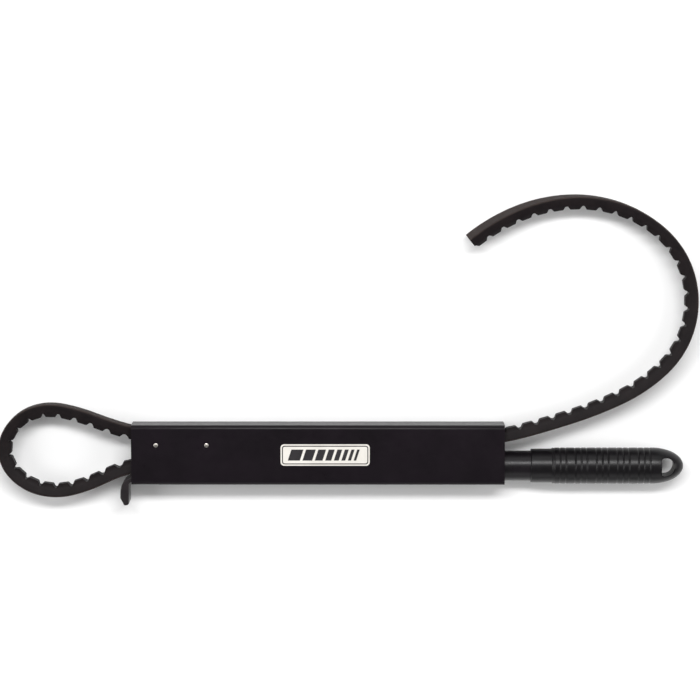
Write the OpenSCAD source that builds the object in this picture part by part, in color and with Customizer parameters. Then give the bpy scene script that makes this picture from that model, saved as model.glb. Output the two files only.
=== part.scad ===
// Belt-type oil filter wrench, lying flat on its back face.
// +X runs along the handle, +Y across the housing, +Z up from the surface it lies on.
// The origin is the centre of the housing's rest face.

/* [Housing] */
// Length of the box-section housing
housing_l = 310; // [290:1:340]
// Height of the housing across the belt
housing_h = 50; // [50:0.5:56]
// Depth of the housing, from rest face to front face
housing_d = 30; // [29:0.5:34]
// Outer corner radius of the box section
corner_r = 3.5; // [2.5:0.5:5]
// Wall thickness of the box section
wall = 1.5; // [1:0.1:1.6]
// How far the bottom wall is cut away for the lever
relief_l = 23; // [22:0.5:30]

/* [Belt] */
// Distance from one belt notch to the next
pitch = 14.55; // [14.2:0.05:14.7]
// Width of the belt's back
belt_w = 17; // [15:0.5:18]
// Width of the cogs; a step stands for the slope of the belt's flanks
cog_w = 12.5; // [10:0.5:14]
// Thickness of the belt from back to cog tip
belt_t = 11; // [10.8:0.1:11.4]
// Depth of a notch below the cog tips
notch_d = 3.3; // [3:0.1:4]
// Depth of the load cords below the back, where the length stays constant
cord_in = 3; // [2.6:0.1:3]
// Length of a cog at its tip
cog_tip = 7.6; // [7:0.1:8]
// Length of a cog at the root of the notches
cog_base = 10.8; // [10:0.1:11]

/* [Handle] */
// Outer diameter of the steel handle tube
tube_d = 25; // [22:0.5:25]
// Wall thickness of the handle tube
tube_wall = 1.5; // [1:0.1:2]
// How far the tube reaches into the housing
tube_in = 88; // [60:1:90]
// Start of the rubber grip beyond the housing's end
grip_gap = 22; // [10:1:40]
// Length of the grip
grip_l = 127.5; // [115:0.5:140]
// Diameter of the grip over its ribs
grip_d = 30; // [28.6:0.2:30]
// Diameter of the grip's smooth collar
collar_d = 28.2; // [27:0.2:28.4]

/* [Clamp lever] */
// Thickness of the lever's two cheeks
cheek_t = 2; // [1.6:0.1:2]
// Radius of the round bar that presses on the belt's back
bar_r = 2.6; // [2:0.1:2.8]
// Depth of the thumb tab
tab_d = 23; // [18:0.5:23]
// Radius of the rivet shanks
rivet_r = 1.5; // [1.2:0.1:1.5]

/* [Hidden] */
$fn = 96;
// Clearances: between fixed faces, and between a pin and its hole
gap = 0.3;
running = 0.05;
mid_z = housing_d / 2;

// Places in the housing, from its centre
pivot = [-134.5, 8.4];
rear_rivet = [-92.5, 8.4];
handle_y = -housing_h / 2 + wall + gap + 0.2 + tube_d / 2;
inner_h = housing_h - 2 * wall;
inner_d = housing_d - 2 * wall;

// The belt's path, as pieces of constant bend: [number of cogs, bend in degrees].
// It starts at the anchored end inside the housing and runs toward -X.
anchor_start = [-86.85, 19.05, 180];
ANCHOR_PLAN = [[4, 0], [1, -16]];
LOOP_PLAN = [[2, -5.2], [2, 11], [2, 37.4], [2, 45.1], [2, 56.1], [2, 36.1], [2, 30.2], [2, 11.7],
    [1, -6.7], [1, -15]];
RUN_PLAN = [[20, 0]];
TAIL_PLAN = [[2, 10.2], [3, 3.1], [3, 7.2], [3, 18.1], [3, 32], [3, 31.2], [3, 32.2], [3, 24], [3, 22.3],
    [3, 18.7], [3, 15.4]];
loop_count = len(LOOP_PLAN);
tail_count = len(TAIL_PLAN);

// A frame is [x, y, heading]; arc_step moves it along n cogs that bend by b degrees
function arc_radius(n, b) = n * pitch * 180 / (PI * b);
function chord(n, b) = b == 0 ? n * pitch : 2 * arc_radius(n, b) * sin(b / 2);
function arc_step(f, n, b) = [
    f[0] + chord(n, b) * cos(f[2] + b / 2),
    f[1] + chord(n, b) * sin(f[2] + b / 2),
    f[2] + b];
function frame_after(f, plan, k) =
    k == 0 ? f : arc_step(frame_after(f, plan, k - 1), plan[k - 1][0], plan[k - 1][1]);
// A point s ahead of a frame and t to its left, which is the side of the cogs
function place(f, s, t) = [
    f[0] + s * cos(f[2]) - t * sin(f[2]),
    f[1] + s * sin(f[2]) + t * cos(f[2])];

loop_start = frame_after(anchor_start, ANCHOR_PLAN, len(ANCHOR_PLAN));
run_start = frame_after(loop_start, LOOP_PLAN, loop_count);
tail_start = frame_after(run_start, RUN_PLAN, 1);

// Cog tips and notch roots, measured from the cords
tip_t = belt_t - cord_in;
root_t = tip_t - notch_d;

// ---- Housing ----

module rounded_box_section(h, d, r) {
    for (y = [-h / 2 + r, h / 2 - r])
        for (z = [r, d - r])
            translate([y, z]) circle(r);
    translate([-h / 2 + r, 0]) square([h - 2 * r, d]);
    translate([-h / 2, r]) square([h, d - 2 * r]);
}

// Stands a section drawn in Y and Z along +X
module along_x(l) rotate([90, 0, 90]) linear_extrude(l) children();

module rivet_hole(p) {
    countersink_r = 3.4;
    countersink_h = 0.5;
    translate([p[0], p[1], -1]) cylinder(r = rivet_r + running, h = housing_d + 2);
    for (z = [-1, housing_d - countersink_h])
        translate([p[0], p[1], z]) cylinder(r = countersink_r, h = 1 + countersink_h);
}

module housing() {
    side_lip = wall + 0.2;
    color([0.09, 0.085, 0.095])
        difference() {
            translate([-housing_l / 2, 0, 0]) along_x(housing_l)
                difference() {
                    rounded_box_section(housing_h, housing_d, corner_r);
                    translate([0, wall]) rounded_box_section(inner_h, inner_d, corner_r - wall);
                }
            translate([-housing_l / 2 - 1, -housing_h / 2 - 1, side_lip])
                cube([relief_l + 1, wall + 2, housing_d - 2 * side_lip]);
            rivet_hole(pivot);
            rivet_hole(rear_rivet);
        }
}

module rivet(p) {
    head_r = 2.1;
    head_h = 0.45;
    color([0.82, 0.82, 0.8]) {
        translate([p[0], p[1], 0.05]) cylinder(r = rivet_r, h = housing_d - 0.1);
        for (z = [0.02, housing_d - head_h - 0.02])
            translate([p[0], p[1], z]) cylinder(r = head_r, h = head_h);
    }
}

// ---- Anchor block ----

// A tooth that fits a notch of the straight belt, with a gap all round
module block_tooth()
    polygon([
        [-(pitch - cog_base) / 2 + gap, root_t + gap], [(pitch - cog_base) / 2 - gap, root_t + gap],
        [(pitch - cog_tip) / 2 - gap, tip_t], [(pitch - cog_tip) / 2 - gap, tip_t + 2 * gap],
        [-(pitch - cog_tip) / 2 + gap, tip_t + 2 * gap], [-(pitch - cog_tip) / 2 + gap, tip_t]]);

module anchor_block() {
    left = -146;
    right = -82;
    top = anchor_start[1] - tip_t - gap;
    run_slope = tan(run_start[2] - 360);
    lower = place(run_start, 0, tip_t + 4 * gap);
    color([0.35, 0.35, 0.36])
        translate([0, 0, mid_z - belt_w / 2])
            difference() {
                linear_extrude(belt_w) {
                    polygon([
                        [left, lower[1] + (left - lower[0]) * run_slope],
                        [right, lower[1] + (right - lower[0]) * run_slope],
                        [right, top], [left, top]]);
                    for (k = [1:3])
                        translate([anchor_start[0] - k * pitch, anchor_start[1]]) rotate(180) block_tooth();
                }
                for (p = [pivot, rear_rivet])
                    translate([p[0], p[1], -1]) cylinder(r = rivet_r + running, h = belt_w + 2);
            }
}

// ---- Clamp lever and its springs ----

// The bar waits a little below the belt's back, which flexes as it is pulled, and just
// behind the place where the straight strand starts
bar_behind = 2;
bar_rest = 1.1;
bar = place(run_start, -bar_behind, -cord_in - bar_rest - bar_r);
tab_left = -165;
tab_right = -156.5;
tab_bottom = -42.5;
cheek_z = wall + 0.2 + gap;

module cheek_outline() {
    boss_r = 5;
    foot_r = 3.4;
    translate(pivot) circle(boss_r);
    translate(bar) circle(foot_r - 0.2);
    polygon([
        [pivot[0] - boss_r * 0.9, pivot[1] + boss_r * 0.43], [pivot[0] + boss_r * 0.85, pivot[1] - boss_r * 0.53],
        [bar[0] + foot_r * 0.75, bar[1] - foot_r * 0.5], [bar[0] - foot_r * 0.8, bar[1] + foot_r * 0.4]]);
}

// The neck runs under the belt's back, out of the mouth and down into the thumb tab
module tab_outline() {
    shoulder_r = 5;
    chamfer = 3.4;
    shoulder_y = -24.5;
    translate(bar) circle(bar_r);
    polygon([
        [bar[0], bar[1] + bar_r], [tab_right - 0.6, bar[1] + 0.2],
        [tab_left + shoulder_r + 0.6, shoulder_y + shoulder_r - 0.1], [tab_right, shoulder_y],
        [bar[0], bar[1] - bar_r]]);
    translate([tab_left + shoulder_r, shoulder_y]) circle(shoulder_r);
    translate([tab_left + shoulder_r, shoulder_y - 1]) square([tab_right - tab_left - shoulder_r, 5.5]);
    polygon([
        [tab_left, shoulder_y], [tab_left, tab_bottom + chamfer], [tab_left + chamfer, tab_bottom],
        [tab_right - chamfer / 2, tab_bottom], [tab_right, tab_bottom + chamfer / 2], [tab_right, shoulder_y]]);
}

module clamp_lever() {
    inner_gap = housing_d - 2 * cheek_z;
    color([0.1, 0.1, 0.11])
        difference() {
            union() {
                for (z = [cheek_z, housing_d - cheek_z - cheek_t])
                    translate([0, 0, z]) linear_extrude(cheek_t) cheek_outline();
                translate([bar[0], bar[1], cheek_z]) cylinder(r = bar_r, h = inner_gap);
                translate([0, 0, mid_z - tab_d / 2]) linear_extrude(tab_d) tab_outline();
            }
            translate([pivot[0], pivot[1], 0]) cylinder(r = rivet_r + running, h = housing_d);
        }
}

// A torsion spring of two turns, round the pivot rivet between the block and a cheek
module torsion_spring() {
    wire_r = 0.5;
    coil_r = 3.6;
    leg_l = 16;
    turn_step = 2 * wire_r + 0.1;
    first_z = cheek_z + cheek_t + gap + wire_r;
    color([0.6, 0.6, 0.58])
        translate([pivot[0], pivot[1], first_z]) {
            for (turn = [0, 1])
                translate([0, 0, turn * turn_step])
                    rotate_extrude($fn = 48) translate([coil_r, 0]) circle(wire_r, $fn = 24);
            translate([3, -coil_r, turn_step]) rotate([0, 90, 0]) cylinder(r = wire_r, h = leg_l, $fn = 24);
            translate([-coil_r, -3, 0]) rotate([90, 0, 0]) cylinder(r = wire_r, h = leg_l, $fn = 24);
        }
}

module spring_rear() torsion_spring();
module spring_front() translate([0, 0, housing_d]) mirror([0, 0, 1]) torsion_spring();

// ---- Handle ----

tube_start = housing_l / 2 - tube_in;
grip_start = housing_l / 2 + grip_gap;
tube_end = grip_start + grip_l - 26;

module on_handle_axis(x) translate([x, handle_y, mid_z]) rotate([0, 90, 0]) children();

module handle_tube()
    color([0.1, 0.1, 0.11])
        on_handle_axis(tube_start)
            difference() {
                cylinder(d = tube_d, h = tube_end - tube_start);
                translate([0, 0, -1]) cylinder(d = tube_d - 2 * tube_wall, h = tube_end - tube_start + 2);
            }

// Two weld beads in the corners between the tube and the housing's bottom wall
module tube_weld() {
    bead_r = 0.95;
    bead_l = 40;
    bead_out = 6.2;
    bead_y = -housing_h / 2 + wall + bead_r + 0.05;
    color([0.12, 0.12, 0.13])
        for (side = [-1, 1])
            translate([housing_l / 2 - bead_l - 4, bead_y, mid_z + side * bead_out])
                rotate([0, 90, 0]) cylinder(r = bead_r, h = bead_l, $fn = 32);
}

// The nose is a quarter of an ellipse, as [radius, distance from the grip's start]
nose_l = 26;
NOSE = [for (a = [0:10:90]) [grip_d / 2 * cos(a), grip_l - nose_l + nose_l * sin(a)]];
RIB_STEP = 17.5;
// Groove places within one step: one wide rib and two narrow ones
GROOVES = [0, 4.9, 9.7];

// The grip's solid of revolution, standing along its own Z
module grip_profile() {
    collar_l = 17.5;
    edge = 0.8;
    rotate_extrude()
        polygon(concat(
            [[0, 0], [collar_d / 2 - edge, 0], [collar_d / 2, edge], [collar_d / 2, collar_l],
             [grip_d / 2, collar_l + 1.5]],
            NOSE));
}

module ring_groove(x) {
    groove_r = 0.8;
    translate([0, 0, x]) rotate_extrude() translate([grip_d / 2 + 0.1, 0]) circle(groove_r, $fn = 24);
}

// A hole with a flat side toward the handle and a round side toward the tip
module hang_eye() {
    eye_r = 7.2;
    eye_flat = grip_start + 109;
    eye_centre = eye_flat + 3.4;
    translate([0, handle_y, mid_z - grip_d / 2 - 1])
        linear_extrude(grip_d + 2)
            intersection() {
                translate([eye_centre, 0]) circle(eye_r);
                translate([eye_flat, -eye_r]) square(2 * eye_r);
            }
}

module grip() {
    first_groove = 19.6;
    steps = 4;
    color([0.06, 0.06, 0.065])
        difference() {
            on_handle_axis(grip_start)
                difference() {
                    grip_profile();
                    translate([0, 0, -1])
                        cylinder(d = tube_d + 2 * running, h = tube_end - grip_start + 1 + gap);
                    for (s = [0:steps])
                        for (g = GROOVES)
                            ring_groove(first_groove + s * RIB_STEP + g);
                }
            hang_eye();
        }
}

// ---- Label ----

module label_plate() {
    plate_l = 74;
    plate_h = 18;
    plate_t = 0.6;
    plate_r = 3;
    centre_x = 6;
    color([0.9, 0.89, 0.87])
        translate([centre_x, 0.4, housing_d + 0.02]) {
            linear_extrude(plate_t)
                for (turn = [0, 1]) {
                    size = turn == 0 ? [plate_l - 2 * plate_r, plate_h] : [plate_l, plate_h - 2 * plate_r];
                    square(size, center = true);
                }
            for (x = [-1, 1])
                for (y = [-1, 1])
                    translate([x * (plate_l / 2 - plate_r), y * (plate_h / 2 - plate_r), 0])
                        cylinder(r = plate_r, h = plate_t);
        }
}

// ---- Belt ----

module at(f) translate([f[0], f[1], mid_z]) rotate([0, 0, f[2]]) children();

// The k-th notch of a piece of n cogs that bends by b degrees
function notch_frame(n, b, k) = k == 0 ? [0, 0, 0] : arc_step([0, 0, 0], k, b * k / n);

// Outline of the belt without its cogs. Its ends lean back above the cords, so that two
// pieces can turn against each other
lean_t = 2.4;
lean_s = 1.8;
function web_outline(n, b) = concat(
    [for (k = [0:0.5:n]) place(notch_frame(n, b, k), 0, -cord_in)],
    [place(notch_frame(n, b, n), 0, lean_t), place(notch_frame(n, b, n), -lean_s, root_t)],
    [for (k = [n - 1:-1:1]) place(notch_frame(n, b, k), 0, root_t)],
    [[lean_s, root_t], [0, lean_t]]);

module cog(f) {
    sunk = 0.5;
    translate([f[0], f[1], 0]) rotate([0, 0, f[2]])
        linear_extrude(cog_w, center = true)
            polygon([
                [-cog_base / 2, root_t - sunk], [cog_base / 2, root_t - sunk],
                [cog_tip / 2, tip_t], [-cog_tip / 2, tip_t]]);
}

// One rigid piece of belt. It starts with a hollow and ends with a knuckle, both on the cords
module belt_piece(n, b, knuckle = true) {
    end = notch_frame(n, b, n);
    color([0.13, 0.12, 0.12]) {
        linear_extrude(belt_w, center = true)
            difference() {
                union() {
                    polygon(web_outline(n, b));
                    if (knuckle)
                        translate([end[0], end[1]]) circle(cord_in - 0.1);
                }
                circle(cord_in + gap);
            }
        for (k = [0:n - 1])
            cog(arc_step([0, 0, 0], k + 0.5, b * (k + 0.5) / n));
    }
}

// The end that the block grips, cut short at the mouth where the belt's loop is opened
module belt_anchor_end() {
    open_gap = 1.5;
    cogs = ANCHOR_PLAN[0][0];
    bend = ANCHOR_PLAN[1][1];
    turn = [cogs * pitch, 0, 0];
    mouth = arc_step(turn, 1, bend);
    color([0.13, 0.12, 0.12])
        at(anchor_start) {
            linear_extrude(belt_w, center = true)
                polygon([
                    [0, -cord_in], place(turn, 0, -cord_in), place(mouth, -open_gap, -cord_in),
                    place(mouth, -open_gap, root_t), place(turn, 0, root_t), [0, root_t]]);
            for (k = [0:cogs - 1])
                cog([(k + 0.5) * pitch, 0, 0]);
            cog(arc_step(turn, 0.5, bend / 2));
        }
}

module belt_loop(i) at(frame_after(loop_start, LOOP_PLAN, i - 1)) belt_piece(LOOP_PLAN[i - 1][0], LOOP_PLAN[i - 1][1]);
module belt_run() at(run_start) belt_piece(RUN_PLAN[0][0], RUN_PLAN[0][1]);
module belt_tail(i)
    at(frame_after(tail_start, TAIL_PLAN, i - 1))
        belt_piece(TAIL_PLAN[i - 1][0], TAIL_PLAN[i - 1][1], knuckle = i < tail_count);

housing();
anchor_block();
rivet(pivot);  // rivet_pivot
rivet(rear_rivet);  // rivet_rear
clamp_lever();
spring_front();
spring_rear();
handle_tube();
tube_weld();
grip();
label_plate();
belt_anchor_end();
for (i = [1:loop_count])
    belt_loop(i);
belt_run();
for (i = [1:tail_count])
    belt_tail(i);
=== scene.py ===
"""The looks of a belt-type oil filter wrench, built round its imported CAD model.

The steel housing, the handle tube and the anchor block are the CAD nodes themselves. The cogged
belt, the grip, the clamp lever, the springs, the rivets, the weld beads and the label are built
here in finer detail, in the same place and size. Sizes below are in millimetres.
"""

import math

import bmesh
import bpy
import numpy as np
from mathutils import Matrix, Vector


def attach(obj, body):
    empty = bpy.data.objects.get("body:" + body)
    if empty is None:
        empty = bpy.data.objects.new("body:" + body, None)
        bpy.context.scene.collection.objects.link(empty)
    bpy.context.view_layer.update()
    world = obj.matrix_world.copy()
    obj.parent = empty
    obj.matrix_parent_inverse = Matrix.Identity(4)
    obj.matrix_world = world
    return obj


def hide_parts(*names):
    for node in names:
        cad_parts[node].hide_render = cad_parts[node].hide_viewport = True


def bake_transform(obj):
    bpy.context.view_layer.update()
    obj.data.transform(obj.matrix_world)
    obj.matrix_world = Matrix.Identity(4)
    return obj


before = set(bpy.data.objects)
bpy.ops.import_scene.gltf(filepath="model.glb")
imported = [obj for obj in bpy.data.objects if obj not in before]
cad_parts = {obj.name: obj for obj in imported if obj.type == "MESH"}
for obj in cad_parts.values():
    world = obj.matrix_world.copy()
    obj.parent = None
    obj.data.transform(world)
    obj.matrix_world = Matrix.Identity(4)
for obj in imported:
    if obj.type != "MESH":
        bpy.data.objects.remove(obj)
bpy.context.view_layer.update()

MM = 0.001
MID_Z = 15.0

# ---- Materials ----


def node_material(name, metallic=0.0, specular=0.5):
    """An empty node material: (material, its nodes, its links, its shader)."""
    material = bpy.data.materials.new(name)
    material.use_nodes = True
    nodes = material.node_tree.nodes
    shader = nodes["Principled BSDF"]
    shader.inputs["Metallic"].default_value = metallic
    shader.inputs["Specular IOR Level"].default_value = specular
    return material, nodes, material.node_tree.links, shader


def coordinates(nodes, links, kind="Object", stretch=(1, 1, 1)):
    """Texture coordinates of that kind, in metres, squeezed by stretch."""
    source = nodes.new("ShaderNodeTexCoord")
    mapping = nodes.new("ShaderNodeMapping")
    mapping.inputs["Scale"].default_value = stretch
    links.new(source.outputs[kind], mapping.inputs["Vector"])
    return mapping.outputs["Vector"]


def noise(nodes, links, coords, size, detail=4.0, roughness=0.55):
    """Cloudy noise whose lumps are about size millimetres."""
    node = nodes.new("ShaderNodeTexNoise")
    node.inputs["Scale"].default_value = 1 / (size * MM)
    node.inputs["Detail"].default_value = detail
    node.inputs["Roughness"].default_value = roughness
    links.new(coords, node.inputs["Vector"])
    return node.outputs["Fac"]


def stretch_range(nodes, links, value, low, high, span=(0.3, 0.7)):
    """Maps value from span onto low and high."""
    node = nodes.new("ShaderNodeMapRange")
    node.inputs["From Min"].default_value = span[0]
    node.inputs["From Max"].default_value = span[1]
    node.inputs["To Min"].default_value = low
    node.inputs["To Max"].default_value = high
    links.new(value, node.inputs["Value"])
    return node.outputs["Result"]


def mix_colour(nodes, links, factor, a, b):
    """a where factor is 0, b where it is 1; each is a colour or a socket."""
    node = nodes.new("ShaderNodeMix")
    node.data_type = "RGBA"
    links.new(factor, node.inputs["Factor"])
    for socket, value in ((node.inputs[6], a), (node.inputs[7], b)):
        if isinstance(value, tuple):
            socket.default_value = (*value, 1.0)
        else:
            links.new(value, socket)
    return node.outputs[2]


def arithmetic(nodes, links, operation, a, b):
    """The result of a Math node on numbers or sockets."""
    node = nodes.new("ShaderNodeMath")
    node.operation = operation
    for socket, value in zip(node.inputs, (a, b)):
        if isinstance(value, (int, float)):
            socket.default_value = value
        else:
            links.new(value, socket)
    return node.outputs[0]


def bump(nodes, links, shader, height, depth):
    """Bump of that depth in millimetres."""
    node = nodes.new("ShaderNodeBump")
    node.inputs["Strength"].default_value = 1.0
    node.inputs["Distance"].default_value = depth * MM
    links.new(height, node.inputs["Height"])
    links.new(node.outputs["Normal"], shader.inputs["Normal"])


def surface(name, dark, light, gloss, grain, depth, blotch=35.0, stretch=(1, 1, 1), **facts):
    """A material that drifts between two colours, with a fine grain in its roughness and bump.

    gloss is the range of its roughness. grain, depth and blotch are in millimetres: the size of the
    grain, how deep it is, and the size of the patches of colour.
    """
    material, nodes, links, shader = node_material(name, **facts)
    coords = coordinates(nodes, links, stretch=stretch)
    clouds = noise(nodes, links, coords, blotch)
    fine = noise(nodes, links, coords, grain, detail=2.0)
    tone = stretch_range(nodes, links, clouds, 0.0, 1.0)
    links.new(mix_colour(nodes, links, tone, dark, light), shader.inputs["Base Color"])
    scuffs = noise(nodes, links, coords, grain * 9, detail=6.0, roughness=0.7)
    mixed = arithmetic(nodes, links, "MULTIPLY_ADD", fine, 0.5)
    links.new(arithmetic(nodes, links, "MULTIPLY", scuffs, 0.5), mixed.node.inputs[2])
    links.new(stretch_range(nodes, links, mixed, *gloss, span=(0.35, 0.65)), shader.inputs["Roughness"])
    bump(nodes, links, shader, fine, depth)
    return material


def belt_back_material():
    """The belt's back: a rubbered fabric, woven at 45 degrees, dusty brown-black, with painted shade in the
    weave's hollows.
    """
    material, nodes, links, shader = node_material("belt_back_fabric", specular=0.15)
    coords = coordinates(nodes, links, kind="UV")
    waves = []
    for angle in (math.pi / 4, -math.pi / 4):
        turned = nodes.new("ShaderNodeMapping")
        turned.inputs["Rotation"].default_value = (0, 0, angle)
        links.new(coords, turned.inputs["Vector"])
        wave = nodes.new("ShaderNodeTexWave")
        wave.inputs["Scale"].default_value = 0.32 / MM
        wave.inputs["Distortion"].default_value = 0.6
        links.new(turned.outputs["Vector"], wave.inputs["Vector"])
        waves.append(wave.outputs["Fac"])
    weave = arithmetic(nodes, links, "MAXIMUM", *waves)
    dust = stretch_range(nodes, links, noise(nodes, links, coords, 9, detail=6.0), 0.0, 1.0)
    tone = mix_colour(nodes, links, dust, (0.022, 0.0155, 0.0145), (0.044, 0.032, 0.029))
    # Painted shade: the low parts of the weave are painted darker, toward a near-black brown
    deep = stretch_range(nodes, links, weave, 0.45, 0.0, span=(0.2, 0.9))
    links.new(mix_colour(nodes, links, deep, tone, (0.010, 0.008, 0.008)), shader.inputs["Base Color"])
    links.new(stretch_range(nodes, links, dust, 0.62, 0.85, span=(0.0, 1.0)), shader.inputs["Roughness"])
    bump(nodes, links, shader, weave, 0.12)
    return material


def belt_side_material():
    """The belt's cut flanks: rubber with fine lengthwise saw marks and short fibres."""
    material, nodes, links, shader = node_material("belt_cut_rubber", specular=0.16)
    coords = coordinates(nodes, links, kind="UV")
    along = coordinates(nodes, links, kind="UV", stretch=(0.12, 1, 1))
    fibres = noise(nodes, links, along, 0.5, detail=3.0)
    clouds = stretch_range(nodes, links, noise(nodes, links, coords, 14, detail=5.0), 0.0, 1.0)
    tone = mix_colour(nodes, links, clouds, (0.0034, 0.0020, 0.0026), (0.0095, 0.0062, 0.0068))
    worn = stretch_range(nodes, links, fibres, 0.0, 0.5, span=(0.5, 0.75))
    links.new(mix_colour(nodes, links, worn, tone, (0.020, 0.014, 0.014)), shader.inputs["Base Color"])
    links.new(stretch_range(nodes, links, fibres, 0.5, 0.7), shader.inputs["Roughness"])
    bump(nodes, links, shader, fibres, 0.06)
    return material


HOUSING_PAINT = surface(
    "housing_powder_coat", dark=(0.0050, 0.0032, 0.0050), light=(0.0078, 0.0050, 0.0078),
    gloss=(0.27, 0.40), grain=0.7, depth=0.012, specular=0.18)
TUBE_PAINT = surface(
    "tube_satin_paint", dark=(0.0050, 0.0038, 0.0050), light=(0.0085, 0.0065, 0.0085),
    gloss=(0.26, 0.38), grain=0.8, depth=0.012, blotch=22, specular=0.28)
LEVER_PAINT = surface(
    "lever_satin_paint", dark=(0.008, 0.006, 0.007), light=(0.016, 0.012, 0.014),
    gloss=(0.28, 0.42), grain=0.6, depth=0.02, blotch=9, specular=0.4)
BLOCK_STEEL = surface(
    "sintered_steel", dark=(0.20, 0.195, 0.19), light=(0.34, 0.33, 0.32),
    gloss=(0.40, 0.60), grain=0.35, depth=0.03, blotch=8, metallic=1.0)
RIVET_STEEL = surface(
    "peened_steel", dark=(0.36, 0.34, 0.31), light=(0.56, 0.53, 0.49),
    gloss=(0.26, 0.42), grain=0.5, depth=0.02, blotch=2, metallic=1.0)
SPRING_STEEL = surface(
    "spring_wire", dark=(0.42, 0.41, 0.40), light=(0.60, 0.59, 0.57),
    gloss=(0.22, 0.36), grain=0.3, depth=0.01, blotch=3, stretch=(1, 1, 4), metallic=1.0)
WELD_STEEL = surface(
    "painted_weld", dark=(0.010, 0.009, 0.010), light=(0.024, 0.020, 0.022),
    gloss=(0.35, 0.55), grain=0.5, depth=0.05, blotch=4)
GRIP_RUBBER = surface(
    "grip_rubber_moulded", dark=(0.0028, 0.0024, 0.0030), light=(0.0060, 0.0050, 0.0062),
    gloss=(0.27, 0.38), grain=0.45, depth=0.008, blotch=18, specular=0.28)
LABEL_WHITE = surface(
    "label_off_white", dark=(0.70, 0.67, 0.62), light=(0.80, 0.77, 0.72),
    gloss=(0.28, 0.40), grain=0.6, depth=0.006, blotch=20)
LABEL_BLACK = surface(
    "label_dark_print", dark=(0.012, 0.010, 0.012), light=(0.020, 0.017, 0.020),
    gloss=(0.35, 0.50), grain=0.6, depth=0.006, blotch=12)
BELT_BACK = belt_back_material()
BELT_SIDE = belt_side_material()

# ---- Mesh helpers ----


def link_mesh(name, mesh):
    obj = bpy.data.objects.new(name, mesh)
    bpy.context.scene.collection.objects.link(obj)
    return obj


def make_object(name, points, faces, materials, sharp=40.0):
    """A mesh object from points in millimetres; edges sharper than sharp degrees stay sharp."""
    mesh = bpy.data.meshes.new(name)
    mesh.from_pydata([tuple(c * MM for c in p) for p in points], [], faces)
    for material in materials:
        mesh.materials.append(material)
    finish_mesh(mesh, sharp)
    return link_mesh(name, mesh)


def finish_mesh(mesh, sharp):
    """Turns the faces outward and sets smooth shading with sharp edges."""
    work = bmesh.new()
    work.from_mesh(mesh)
    bmesh.ops.recalc_face_normals(work, faces=work.faces)
    work.to_mesh(mesh)
    work.free()
    mesh.polygons.foreach_set("use_smooth", [True] * len(mesh.polygons))
    mesh.set_sharp_from_angle(angle=math.radians(sharp))


def lathe(profile, segments, place):
    """Points and faces of a closed profile of (distance along, radius), turned full circle.

    place(along, radius, angle) gives the point. Radii of 0 become poles.
    """
    points, rows = [], []
    for along, radius in profile:
        count = segments if radius > 1e-6 else 1
        rows.append(range(len(points), len(points) + count))
        points += [place(along, radius, 2 * math.pi * k / count) for k in range(count)]
    faces = []
    for a, b in zip(rows, rows[1:]):
        for k in range(segments):
            n = (k + 1) % segments
            if len(a) == 1 and len(b) > 1:
                faces.append((a[0], b[n], b[k]))
            elif len(b) == 1 and len(a) > 1:
                faces.append((a[k], a[n], b[0]))
            elif len(a) > 1:
                faces.append((a[k], a[n], b[n], b[k]))
    return points, faces


def prism(outline, low, high):
    """Points and faces of an outline in X and Y, stood up from low to high."""
    n = len(outline)
    points = [(x, y, low) for x, y in outline] + [(x, y, high) for x, y in outline]
    faces = [tuple(range(n))[::-1], tuple(range(n, 2 * n))]
    faces += [(k, (k + 1) % n, n + (k + 1) % n, n + k) for k in range(n)]
    return points, faces


def join_parts(*parts):
    """Several (points, faces) as one."""
    points, faces = [], []
    for more_points, more_faces in parts:
        base = len(points)
        points += more_points
        faces += [tuple(base + i for i in face) for face in more_faces]
    return points, faces


def arc(centre, radius, start, end, steps=10):
    """Points on an arc, from start to end degrees."""
    angles = [math.radians(start + (end - start) * k / steps) for k in range(steps + 1)]
    return [(centre[0] + radius * math.cos(a), centre[1] + radius * math.sin(a)) for a in angles]


def sweep(path, radii, sides=14):
    """Points and faces of a round wire along path, closed at both ends."""
    path = [Vector(p) for p in path]
    points, faces = [], []
    side = None
    for i, here in enumerate(path):
        ahead = (path[min(i + 1, len(path) - 1)] - path[max(i - 1, 0)]).normalized()
        if side is None:
            side = ahead.orthogonal().normalized()
        side = (side - ahead * side.dot(ahead)).normalized()
        other = ahead.cross(side)
        for k in range(sides):
            a = 2 * math.pi * k / sides
            points.append(tuple(here + (side * math.cos(a) + other * math.sin(a)) * radii[i]))
    for i in range(len(path) - 1):
        for k in range(sides):
            n = (k + 1) % sides
            faces.append((i * sides + k, i * sides + n, (i + 1) * sides + n, (i + 1) * sides + k))
    last = (len(path) - 1) * sides
    faces += [tuple(range(sides))[::-1], tuple(range(last, last + sides))]
    return points, faces


def bevel_edges(obj, width, segments=3, angle=35.0):
    """Rounds the edges that are sharper than angle degrees."""
    modifier = obj.modifiers.new("edges", "BEVEL")
    modifier.width = width * MM
    modifier.segments = segments
    modifier.limit_method = "ANGLE"
    modifier.angle_limit = math.radians(angle)
    modifier.harden_normals = True


def apply_modifiers(obj):
    graph = bpy.context.evaluated_depsgraph_get()
    mesh = bpy.data.meshes.new_from_object(obj.evaluated_get(graph))
    obj.modifiers.clear()
    obj.data = mesh


def stands_for(obj, body, slot, *nodes):
    """The piece rides on a body and replaces CAD nodes. slot is not used."""
    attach(obj, body)
    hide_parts(*nodes)


# ---- The belt's path ----

# Heights in the belt are measured from its cords, toward the cogs
PITCH = 14.55
CORD_IN = 3.0
BELT_T = 11.0
NOTCH_D = 3.3
TIP_T = BELT_T - CORD_IN
ROOT_T = TIP_T - NOTCH_D
BELT_W = 17.0

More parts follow.
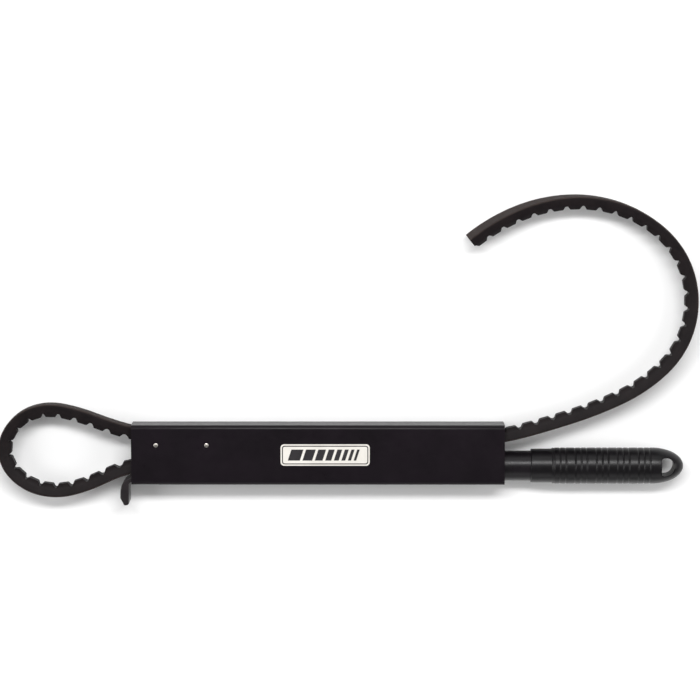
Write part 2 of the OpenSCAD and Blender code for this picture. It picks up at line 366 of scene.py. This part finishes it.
# As in the CAD source: pieces of constant bend, as (number of cogs, bend in degrees)
ANCHOR_START = (-86.85, 19.05, 180.0)
ANCHOR_PLAN = [(4, 0), (1, -16)]
LOOP_PLAN = [
    (2, -5.2), (2, 11), (2, 37.4), (2, 45.1), (2, 56.1), (2, 36.1), (2, 30.2), (2, 11.7), (1, -6.7), (1, -15)]
RUN_PLAN = [(20, 0)]
TAIL_PLAN = [
    (2, 10.2), (3, 3.1), (3, 7.2), (3, 18.1), (3, 32), (3, 31.2), (3, 32.2), (3, 24), (3, 22.3), (3, 18.7),
    (3, 15.4)]
BELT_PLAN = ANCHOR_PLAN + LOOP_PLAN + RUN_PLAN + TAIL_PLAN
BELT_COGS = sum(cogs for cogs, _ in BELT_PLAN)


def follow_plan():
    """Where the cords run: (x, y, heading) at fine steps, with the bends eased into each other."""
    steps = 48
    bends = np.concatenate([np.full(cogs * steps, bend / cogs / steps) for cogs, bend in BELT_PLAN])
    window = np.ones(steps) / steps
    padded = np.concatenate([np.full(steps, bends[0]), bends, np.full(steps, bends[-1])])
    eased = np.convolve(padded, window, mode="same")[steps:-steps]
    heading = np.radians(ANCHOR_START[2] + np.concatenate([[0.0], np.cumsum(eased)]))
    middle = (heading[1:] + heading[:-1]) / 2
    step = PITCH / steps
    x = ANCHOR_START[0] + np.concatenate([[0.0], np.cumsum(np.cos(middle) * step)])
    y = ANCHOR_START[1] + np.concatenate([[0.0], np.cumsum(np.sin(middle) * step)])
    return np.arange(len(x)) / steps, x, y, heading


PATH_COGS, PATH_X, PATH_Y, PATH_HEADING = follow_plan()


def path_at(cogs):
    """(x, y, heading in radians) of the cords, that many cogs from the anchored end."""
    return (
        float(np.interp(cogs, PATH_COGS, PATH_X)),
        float(np.interp(cogs, PATH_COGS, PATH_Y)),
        float(np.interp(cogs, PATH_COGS, PATH_HEADING)),
    )


def beside(place, along, left):
    """The point that far along and to the left of a place."""
    x, y, heading = place
    return (
        x + along * math.cos(heading) - left * math.sin(heading),
        y + along * math.sin(heading) + left * math.cos(heading),
    )


def ease(value, low, high):
    """0 below low, 1 above high, and an S curve between them."""
    share = min(max((value - low) / (high - low), 0.0), 1.0)
    return share * share * (3 - 2 * share)


# Below one height the belt bends freely; above the other a cog is stiff over this half length
SOFT_T = 1.0
STIFF_T = ROOT_T + 0.5
COG_HALF = 5.4


def belt_point(cogs, left):
    """A point of the belt: a cog keeps its shape in a bend, and the web bends at the notches."""
    centre = math.floor(cogs) + 0.5
    along = (cogs - centre) * PITCH
    x, y = beside(path_at(cogs), 0, left)
    stiff = ease(left, SOFT_T, STIFF_T)
    if stiff == 0.0:
        return x, y
    held = min(max(along, -COG_HALF), COG_HALF)
    fade = min((PITCH / 2 - abs(along)) / (PITCH / 2 - COG_HALF), 1.0)
    rigid = beside(path_at(centre), held, left)
    bent = beside(path_at(centre + held / PITCH), 0, left)
    return x + (rigid[0] - bent[0]) * stiff * fade, y + (rigid[1] - bent[1]) * stiff * fade


def belt_twist(cogs):
    """The free end rolls over a little, so that its back turns up."""
    first_cog, roll = 64.0, math.radians(15.0)
    return -roll * ease(cogs, first_cog, BELT_COGS)


# ---- The belt's shape ----


def cog_profile():
    """Half a cog as (distance from its middle, height): flat tip, sloping side, round notch."""
    tip_half, corner = 3.9, 0.3
    notch_r, flank = 2.1, math.radians(57)
    points = [(x, TIP_T) for x in (0.0, tip_half / 3, tip_half * 2 / 3, tip_half - 2 * corner)]
    points.append((tip_half - corner / 2, TIP_T - corner / 4))
    points.append((tip_half + corner / 2, TIP_T - corner))
    notch = []
    for a in np.linspace(flank, 0, 6):
        notch.append((PITCH / 2 - notch_r * math.sin(a), ROOT_T + notch_r * (1 - math.cos(a))))
    (x, t), (notch_x, notch_t) = points[-1], notch[0]
    for share in (0.35, 0.7):
        points.append((x + (notch_x - x) * share, t + (notch_t - t) * share))
    return points + notch


HALF_COG = cog_profile()
WHOLE_COG = [(-x, t) for x, t in HALF_COG[:0:-1]] + HALF_COG

# The belt's body keeps its full width up to FULL_T and leans in more steeply from KINK_T
FULL_T = -2.0
KINK_T = ROOT_T - 0.35
BODY_LEAN = math.tan(math.radians(11))
COG_LEAN = math.tan(math.radians(32))
# The back, slightly crowned, as (half width, height) from its middle to its rounded edge
BACK = [(0.0, -3.0), (2.5, -3.0), (5.0, -2.99), (7.2, -2.93), (8.0, -2.80), (8.38, -2.45), (8.5, FULL_T)]
# Its edges sharper than this, in degrees, are shaded as sharp
BELT_SHARP = 32


def half_width(left):
    """Half the belt's width at a height: its flanks close in, and the cogs' sides more so."""
    body = BELT_W / 2 - (min(left, KINK_T) - FULL_T) * BODY_LEAN
    return body - max(left - KINK_T, 0.0) * COG_LEAN


def section(top):
    """Half the belt's section, from the middle of its back to the middle of its inner face."""
    rise = top - KINK_T
    heights = (-0.4, 1.3, 3.0, KINK_T, KINK_T + rise * 0.4, KINK_T + rise * 0.82)
    sides = [(half_width(t), t) for t in heights]
    inner, corner = half_width(top), 0.3
    return BACK + sides + [(inner - corner, top), (inner / 2, top), (0.0, top)]


def belt_samples(first, last):
    """(cogs, height of the inner face) along the belt between two places."""
    samples = []
    for cog in range(math.floor(first), math.ceil(last)):
        for along, top in WHOLE_COG:
            cogs = cog + 0.5 + along / PITCH
            fresh = not samples or cogs > samples[-1][0] + 1e-6
            if first - 1e-6 <= cogs <= last + 1e-6 and fresh:
                samples.append((cogs, top))
    return samples


def placed(ring, cogs):
    """A ring of (distance from the middle, height) as points, bent and rolled with the belt."""
    points = []
    turn = belt_twist(cogs)
    for z, t in ring:
        rolled_t = t * math.cos(turn) - z * math.sin(turn)
        rolled_z = t * math.sin(turn) + z * math.cos(turn)
        x, y = belt_point(cogs, t)
        shift = beside((0, 0, path_at(cogs)[2]), 0, rolled_t - t)
        points.append((x + shift[0], y + shift[1], MID_Z + rolled_z))
    return points


def belt_object(name, first, last):
    """One stretch of the belt, closed at both ends. Its UV map runs along the belt, in metres."""
    points, faces, kinds, coords = [], [], [], []
    back_material, side_material = 0, 1
    samples = belt_samples(first, last)
    for cogs, top in samples:
        half = section(top)
        ring = half + [(-z, t) for z, t in half[-2:0:-1]]
        points += placed(ring, cogs)
    size = len(ring)
    around = np.array(ring + ring[:1])
    lengths = np.concatenate([[0.0], np.cumsum(np.hypot(*np.diff(around, axis=0).T))])
    for i in range(len(samples) - 1):
        for k in range(size):
            n = (k + 1) % size
            faces.append((i * size + k, i * size + n, (i + 1) * size + n, (i + 1) * size + k))
            is_back = k < len(BACK) - 1 or k >= size - len(BACK) + 1
            kinds.append(back_material if is_back else side_material)
            coords.append([
                (samples[j][0] * PITCH * MM, lengths[m] * MM)
                for j, m in ((i, k), (i, k + 1), (i + 1, k + 1), (i + 1, k))])
    last_ring = (len(samples) - 1) * size
    for cap in (tuple(range(size))[::-1], tuple(range(last_ring, last_ring + size))):
        faces.append(cap)
        kinds.append(side_material)
        coords.append([(points[i][0] * MM, (points[i][2] - MID_Z) * MM) for i in cap])
    mesh = bpy.data.meshes.new(name)
    mesh.from_pydata([tuple(c * MM for c in p) for p in points], [], faces)
    mesh.materials.append(BELT_BACK)
    mesh.materials.append(BELT_SIDE)
    mesh.polygons.foreach_set("material_index", kinds)
    layer = mesh.uv_layers.new(name="along_the_belt")
    layer.data.foreach_set("uv", [c for face in coords for corner in face for c in corner])
    finish_mesh(mesh, BELT_SHARP)
    obj = link_mesh(name, mesh)
    return obj


def across_hinge(obj):
    """The stretch keeps its place: its transform is baked into its points."""
    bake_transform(obj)


def build_belt():
    """One piece for each hinge, from half a cog before it to half a cog before the next."""
    anchor_cogs = sum(cogs for cogs, _ in ANCHOR_PLAN)
    loop_ends = [anchor_cogs + sum(c for c, _ in LOOP_PLAN[:i + 1]) for i in range(len(LOOP_PLAN))]
    tail_start = loop_ends[-1] + RUN_PLAN[0][0]
    tail_starts = [tail_start + sum(c for c, _ in TAIL_PLAN[:i]) for i in range(len(TAIL_PLAN))]
    # No joint joins the anchored end and the loop, so a hair's gap inside the housing lets them turn
    gap = 0.01
    held = belt_object("belt_anchored_end", 0.5, anchor_cogs - 0.5 - gap)
    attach(held, "frame")
    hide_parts("belt_anchor_end")
    first = belt_object("belt_loop_piece_1", anchor_cogs - 0.5 + gap, loop_ends[0] - 0.5)
    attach(first, "loop_link_1")
    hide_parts("belt_loop_1")
    # (place of the hinge, body before, body after, name, CAD nodes it stands for)
    hinges = []
    for i in range(1, len(LOOP_PLAN)):
        hinges.append((
            loop_ends[i - 1], f"loop_link_{i}", f"loop_link_{i + 1}",
            f"belt_loop_piece_{i + 1}", [f"belt_loop_{i + 1}"]))
    hinges.append((
        loop_ends[-1], f"loop_link_{len(LOOP_PLAN)}", "belt", "belt_run_piece",
        ["belt_run", "belt_tail_1", "belt_tail_2"]))
    for i in range(3, len(TAIL_PLAN) + 1):
        before = "belt" if i == 3 else f"tail_link_{i - 1}"
        hinges.append((
            tail_starts[i - 1], before, f"tail_link_{i}", f"belt_tail_piece_{i}", [f"belt_tail_{i}"]))
    for k, (cogs, before, after, name, nodes) in enumerate(hinges):
        end = hinges[k + 1][0] - 0.5 if k + 1 < len(hinges) else BELT_COGS
        piece = belt_object(name, cogs - 0.5, end)
        across_hinge(piece)
        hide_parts(*nodes)


build_belt()

# ---- Grip ----

HANDLE_Y = -10.5
GRIP_START = 177.0
GRIP_L = 127.5
GRIP_R = 15.0
COLLAR_R = 14.1
TUBE_R = 12.5
NOSE_L = 26.0
# Five steps of one wide rib and two narrow ones, as distances from the grip's start
GROOVES = [19.6 + 17.5 * step + offset for step in range(5) for offset in (0.0, 4.9, 9.7)]


def rib_radius(x):
    """Radius over the crowned ribs and the grooves between them."""
    groove_depth, groove_half, crown = 0.65, 0.36, 0.10
    nearest = min(abs(x - g) for g in GROOVES)
    edges = [g for g in GROOVES if g <= x][-1:] + [g for g in GROOVES if g > x][:1]
    fall = 0.0
    if len(edges) == 2:
        fall = crown * abs(2 * (x - edges[0]) / (edges[1] - edges[0]) - 1) ** 3
    return GRIP_R - groove_depth * math.exp(-((nearest / groove_half) ** 2)) - fall


def grip_profile():
    """(distance from the grip's start, radius), round the outside and back through the bore."""
    collar_l, step_l = 17.5, 1.2
    edge = 1.0
    points = [(edge - edge * math.cos(a), COLLAR_R - edge + edge * math.sin(a))
              for a in np.radians(np.linspace(0, 90, 6))]
    points += [(x, COLLAR_R) for x in np.linspace(3, collar_l - 0.5, 12)]
    points += [(collar_l, COLLAR_R + 0.08), (collar_l + step_l / 2, (COLLAR_R + GRIP_R) / 2)]
    nose_start = GRIP_L - NOSE_L
    points += [(x, rib_radius(x)) for x in np.arange(collar_l + step_l, nose_start, 0.15)]
    for a in np.radians(np.linspace(0, 90, 40)):
        points.append((nose_start + NOSE_L * math.sin(a), GRIP_R * math.cos(a)))
    points[-1] = (GRIP_L, 0.0)
    bore_r, bore_l = TUBE_R + 0.05, 101.9
    return [(bore_l, 0.0), (bore_l, bore_r), (0.0, bore_r)] + points


def on_handle(along, radius, angle):
    return (GRIP_START + along, HANDLE_Y + radius * math.cos(angle), MID_Z + radius * math.sin(angle))


def hang_eye_cutter():
    """A D-shaped hole, flat toward the handle, with rounded corners."""
    flat = GRIP_START + 108.7
    radius, corner, centre_in, past = 7.5, 1.2, 3.4, 2
    half = math.degrees(math.acos(-(centre_in - corner) / (radius - corner)))
    rise = math.sqrt((radius - corner) ** 2 - (centre_in - corner) ** 2)
    outline = arc((flat + corner, HANDLE_Y - rise), corner, -180, -half, 6)
    outline += arc((flat + centre_in, HANDLE_Y), radius, -half, half, 40)
    outline += arc((flat + corner, HANDLE_Y + rise), corner, half, 180, 6)
    points, faces = prism(outline, -past, 2 * MID_Z + past)
    return make_object("hang_eye_cutter", points, faces, [])


def build_grip():
    """The turned grip with its hang eye cut through, then remeshed so that all edges are soft."""
    points, faces = lathe(grip_profile(), 160, on_handle)
    grip = make_object("ribbed_grip", points, faces, [GRIP_RUBBER])
    cutter = hang_eye_cutter()
    cut = grip.modifiers.new("hang_eye", "BOOLEAN")
    cut.operation = "DIFFERENCE"
    cut.solver = "EXACT"
    cut.object = cutter
    even = grip.modifiers.new("even", "REMESH")
    even.mode = "VOXEL"
    even.voxel_size = 0.32 * MM
    soft = grip.modifiers.new("soft", "SMOOTH")
    soft.factor = 0.5
    soft.iterations = 3
    apply_modifiers(grip)
    grip.data.polygons.foreach_set("use_smooth", [True] * len(grip.data.polygons))
    grip.data.materials.clear()
    grip.data.materials.append(GRIP_RUBBER)
    bpy.data.objects.remove(cutter)
    stands_for(grip, "frame", "grip_rubber", "grip")


build_grip()

# ---- Rivets ----

PIVOT = (-134.5, 8.4)
REAR_RIVET = (-92.5, 8.4)
HOUSING_D = 30.0


def build_rivet(name, place, node):
    """A solid rivet with a low peened dome at each end."""
    shank_r, dome_r, dome_h, lip = 1.5, 1.8, 0.45, 0.04
    end = HOUSING_D / 2 - lip
    upper = []
    for a in np.radians(np.linspace(0, 90, 9)):
        upper.append((end - dome_h * (1 - math.cos(a)), dome_r * math.sin(a)))
    upper += [(end - dome_h - 0.04, dome_r), (end - dome_h - 0.05, shank_r)]
    profile = upper + [(-z, r) for z, r in upper[::-1]]

    def on_rivet(z, r, a):
        return place[0] + r * math.cos(a), place[1] + r * math.sin(a), MID_Z + z

    points, faces = lathe(profile, 40, on_rivet)
    rivet = make_object(name, points, faces, [RIVET_STEEL], sharp=50)
    stands_for(rivet, "frame", "rivet_steel", node)


build_rivet("pivot_rivet", PIVOT, "rivet_pivot")
build_rivet("rear_rivet", REAR_RIVET, "rivet_rear")

# ---- Clamp lever ----

# Where the CAD's straight strand starts, and how far behind it and below its back the bar waits
RUN_START = (-149.145, -12.216, math.radians(4.7))
BAR_BEHIND = 2.0
BAR_REST = 1.1
BAR_R = 2.6
BAR = beside(RUN_START, -BAR_BEHIND, -CORD_IN - BAR_REST - BAR_R)
CHEEK_Z = 2.0
CHEEK_T = 2.0
TAB_D = 23.0


def rounded_link(a, a_r, b, b_r):
    """The outline that wraps two circles."""
    toward = math.degrees(math.atan2(b[1] - a[1], b[0] - a[0]))
    spread = math.degrees(math.acos((a_r - b_r) / math.dist(a, b)))
    far_side = arc(a, a_r, toward + spread, toward + 360 - spread, 24)
    return far_side + arc(b, b_r, toward - spread, toward + spread, 24)


def tab_outline():
    """The neck from the bar, out of the mouth, and down into the thumb tab."""
    left, right, bottom = -164.4, -157.2, -42.48
    shoulder_y, curve_y, curve_w, curve_h = -24.5, -33.0, 7.0, 13.0
    outline = arc(BAR, BAR_R, 90, -90, 12)
    inner_r, toe_r, cut_r, cut_w, cut_h = 1.6, 2.4, 1.4, 3.9, 6.4
    outline += arc((right + inner_r, shoulder_y - 0.4), inner_r, 80, 180, 5)
    outline += arc((right - toe_r, bottom + toe_r), toe_r, 0, -90, 7)
    outline += arc((left + cut_w, bottom + cut_r), cut_r, -90, -135, 4)
    outline += arc((left + cut_r, bottom + cut_h), cut_r, -145, -180, 4)
    for a in np.radians(range(0, 81, 8)):
        outline.append((left + curve_w * (1 - math.cos(a)), curve_y + curve_h * math.sin(a)))
    return outline


def build_lever():
    """Two cheeks on the pivot rivet, the bar between their feet, and the thumb tab."""
    eye_r, foot_r = 5.0, 3.2
    cheek = rounded_link(PIVOT, eye_r, BAR, foot_r)
    parts = [prism(cheek, z, z + CHEEK_T) for z in (CHEEK_Z, HOUSING_D - CHEEK_Z - CHEEK_T)]
    parts.append(prism(arc(BAR, BAR_R, 0, 351, 39), CHEEK_Z, HOUSING_D - CHEEK_Z))
    cheeks = make_object("clamp_lever_cheeks", *join_parts(*parts), [LEVER_PAINT], sharp=30)
    bevel_edges(cheeks, 0.5)
    stands_for(cheeks, "clamp_lever", "lever_paint", "clamp_lever")
    points, faces = prism(tab_outline(), MID_Z - TAB_D / 2, MID_Z + TAB_D / 2)
    tab = make_object("clamp_lever_tab", points, faces, [LEVER_PAINT], sharp=30)
    bevel_edges(tab, 1.9, segments=6)
    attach(tab, "clamp_lever")


build_lever()

# ---- Springs ----


def build_spring(name, node, front):
    """A torsion spring round the pivot rivet, with a leg to the belt side and one to the lever."""
    wire, coil_r, turns = 0.5, 3.6, 1.25
    first_z, rise = 4.85, 1.1
    leg = 16.0
    x, y = PIVOT
    path = [(x - coil_r, y - leg, first_z), (x - coil_r, y - 1.0, first_z)]
    for share in np.linspace(0, 1, 65):
        a = math.pi - 2 * math.pi * turns * share
        path.append((x + coil_r * math.cos(a), y + coil_r * math.sin(a), first_z + rise * share))
    out = Vector(path[-1]) - Vector(path[-2])
    path.append(tuple(Vector(path[-1]) + Vector((out.x, out.y, 0)).normalized() * leg))
    if front:
        path = [(x, y, HOUSING_D - z) for x, y, z in path]
    points, faces = sweep(path, [wire] * len(path))
    stands_for(make_object(name, points, faces, [SPRING_STEEL]), "frame", "spring_steel", node)


build_spring("torsion_spring_front", "spring_front", True)
build_spring("torsion_spring_rear", "spring_rear", False)

# ---- Weld beads ----


def build_welds():
    """Two rippled beads where the tube meets the housing's bottom wall."""
    bead_r, bead_l, ripple = 0.92, 40.0, 1.7
    housing_end, inset = 155.0, 4.0
    start_x, y, out = housing_end - bead_l - inset, -22.5, 6.2
    along = np.linspace(0, bead_l, 181)
    radii = []
    for s in along:
        phase = (s / ripple) % 1.0
        wave = 0.84 + 0.16 * math.sqrt(1 - (phase - 0.35) ** 2)
        end = max(min(s / bead_r, (bead_l - s) / bead_r, 1.0), 0.15)
        radii.append(bead_r * wave * math.sqrt(end))
    parts = []
    for side in (-1, 1):
        parts.append(sweep([(start_x + s, y, MID_Z + side * out) for s in along], radii, sides=20))
    points, faces = join_parts(*parts)
    stands_for(make_object("weld_beads", points, faces, [WELD_STEEL]), "frame", "tube_paint", "tube_weld")


build_welds()

# ---- Label ----

LABEL_CENTRE = (6.0, 0.4)
LABEL_Z = HOUSING_D + 0.02


def rounded_rectangle(centre, length, height, radius):
    """An outline that starts at its upper right corner and runs anticlockwise."""
    outline = []
    for quarter, (sx, sy) in enumerate(((1, 1), (-1, 1), (-1, -1), (1, -1))):
        corner = (centre[0] + sx * (length / 2 - radius), centre[1] + sy * (height / 2 - radius))
        outline += arc(corner, radius, 90 * quarter, 90 * quarter + 90, 8)
    return outline


def slanted_bar(left, low, high, width, lean):
    return [(left, low), (left + width, low), (left + width + lean, high), (left + lean, high)]


def build_label():
    """A plain plate: a thin border line and a few slanted bars that shrink toward one side."""
    length, height, radius, thick = 74.0, 18.0, 3.0, 0.5
    margin, line = 1.2, 0.8
    outline = rounded_rectangle(LABEL_CENTRE, length, height, radius)
    points, faces = prism(outline, LABEL_Z, LABEL_Z + thick)
    plate = make_object("label_plate_face", points, faces, [LABEL_WHITE])
    bevel_edges(plate, 0.2, segments=2)
    stands_for(plate, "frame", "label", "label_plate")
    top, film = LABEL_Z + thick - 0.02, 0.07
    outer_l, outer_h, outer_r = length - 2 * margin, height - 2 * margin, radius - 0.8
    outer = rounded_rectangle(LABEL_CENTRE, outer_l, outer_h, outer_r)
    inner = rounded_rectangle(LABEL_CENTRE, outer_l - 2 * line, outer_h - 2 * line, outer_r - 0.6)
    n = len(outer)
    points = [(x, y, z) for z in (top, top + film) for ring in (outer, inner) for x, y in ring]
    faces = []
    for k in range(n):
        m = (k + 1) % n
        for a, b in ((0, 1), (1, 3), (3, 2), (2, 0)):
            faces.append((a * n + k, a * n + m, b * n + m, b * n + k))
    border = (points, faces)
    bars = []
    bar_half, lean, space = 4.6, 3.0, 2.2
    low, high = LABEL_CENTRE[1] - bar_half, LABEL_CENTRE[1] + bar_half
    x = LABEL_CENTRE[0] - 31.0
    for width in (10.0, 8.0, 6.4, 5.0, 4.0, 3.2, 2.6, 2.1):
        bars.append(prism(slanted_bar(x, low, high, width, lean), top, top + film))
        x += width + space
    print_piece = make_object("label_print", *join_parts(border, *bars), [LABEL_BLACK])
    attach(print_piece, "frame")


build_label()

# ---- CAD nodes that show as they are ----


def dress(node, material, edge=None):
    """Paints a CAD node and, where edge is given, rounds its edges that much."""
    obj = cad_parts[node]
    obj.data.materials.clear()
    obj.data.materials.append(material)
    if edge:
        weld = obj.modifiers.new("weld", "WELD")
        weld.merge_threshold = 0.001 * MM
        bevel_edges(obj, edge, segments=2, angle=50)


dress("housing", HOUSING_PAINT, edge=0.3)
dress("handle_tube", TUBE_PAINT)
dress("anchor_block", BLOCK_STEEL, edge=0.25)

# ---- Floor, light and camera ----


def build_stage():
    floor_material, nodes, links, shader = node_material("pale_floor", specular=0.2)
    coords = coordinates(nodes, links)
    tone = stretch_range(nodes, links, noise(nodes, links, coords, 400), 0.0, 1.0)
    pale = mix_colour(nodes, links, tone, (0.90, 0.90, 0.90), (0.93, 0.93, 0.93))
    links.new(pale, shader.inputs["Base Color"])
    shader.inputs["Roughness"].default_value = 0.8
    reach, z = 4000.0, -0.2
    corners = [(-reach, -reach, z), (reach, -reach, z), (reach, reach, z), (-reach, reach, z)]
    floor = make_object("floor", corners, [(0, 1, 2, 3)], [floor_material])


def area_light(name, azimuth, elevation, distance, size, power):
    """A soft rectangular light that points at the tool."""
    light = bpy.data.lights.new(name, "AREA")
    light.shape = "RECTANGLE"
    light.size, light.size_y = size
    light.energy = power
    obj = bpy.data.objects.new(name, light)
    a, e = math.radians(azimuth), math.radians(elevation)
    toward = Vector((math.cos(e) * math.cos(a), math.cos(e) * math.sin(a), math.sin(e)))
    obj.location = Vector((0.03, 0.05, 0)) + toward * distance
    obj.rotation_euler = toward.to_track_quat("Z", "Y").to_euler()
    bpy.context.scene.collection.objects.link(obj)


def build_lights():
    world = bpy.data.worlds.new("soft_room")
    world.use_nodes = True
    world.node_tree.nodes["Background"].inputs["Color"].default_value = (1.0, 1.0, 1.0, 1.0)
    world.node_tree.nodes["Background"].inputs["Strength"].default_value = 0.20
    bpy.context.scene.world = world
    area_light("top_softbox", 90, 63, 2.6, (2.6, 0.45), 60)
    area_light("far_softbox", 90, 28, 2.6, (3.0, 1.0), 10)
    area_light("near_softbox", -90, 24, 2.6, (3.0, 1.4), 12)
    area_light("left_softbox", 180, 35, 2.6, (1.4, 1.4), 20)
    area_light("right_softbox", 0, 35, 2.6, (1.4, 1.4), 20)


def build_camera():
    """Looks almost straight down, tipped a little toward the belt's side of the tool."""
    tip = math.radians(6.0)
    distance = 2600.0
    target = (26.607, 86.361, 15.0)
    camera = bpy.data.cameras.new("camera")
    camera.lens = 160.9
    camera.sensor_width = 36.0
    camera.clip_end = 20.0
    obj = bpy.data.objects.new("camera", camera)
    offset = (0, distance * math.sin(tip), distance * math.cos(tip))
    obj.location = [(t + o) * MM for t, o in zip(target, offset)]
    obj.rotation_euler = (-tip, 0, 0)
    bpy.context.scene.collection.objects.link(obj)
    bpy.context.scene.camera = obj


build_stage()
build_lights()
build_camera()
bpy.context.scene.view_settings.view_transform = "Standard"
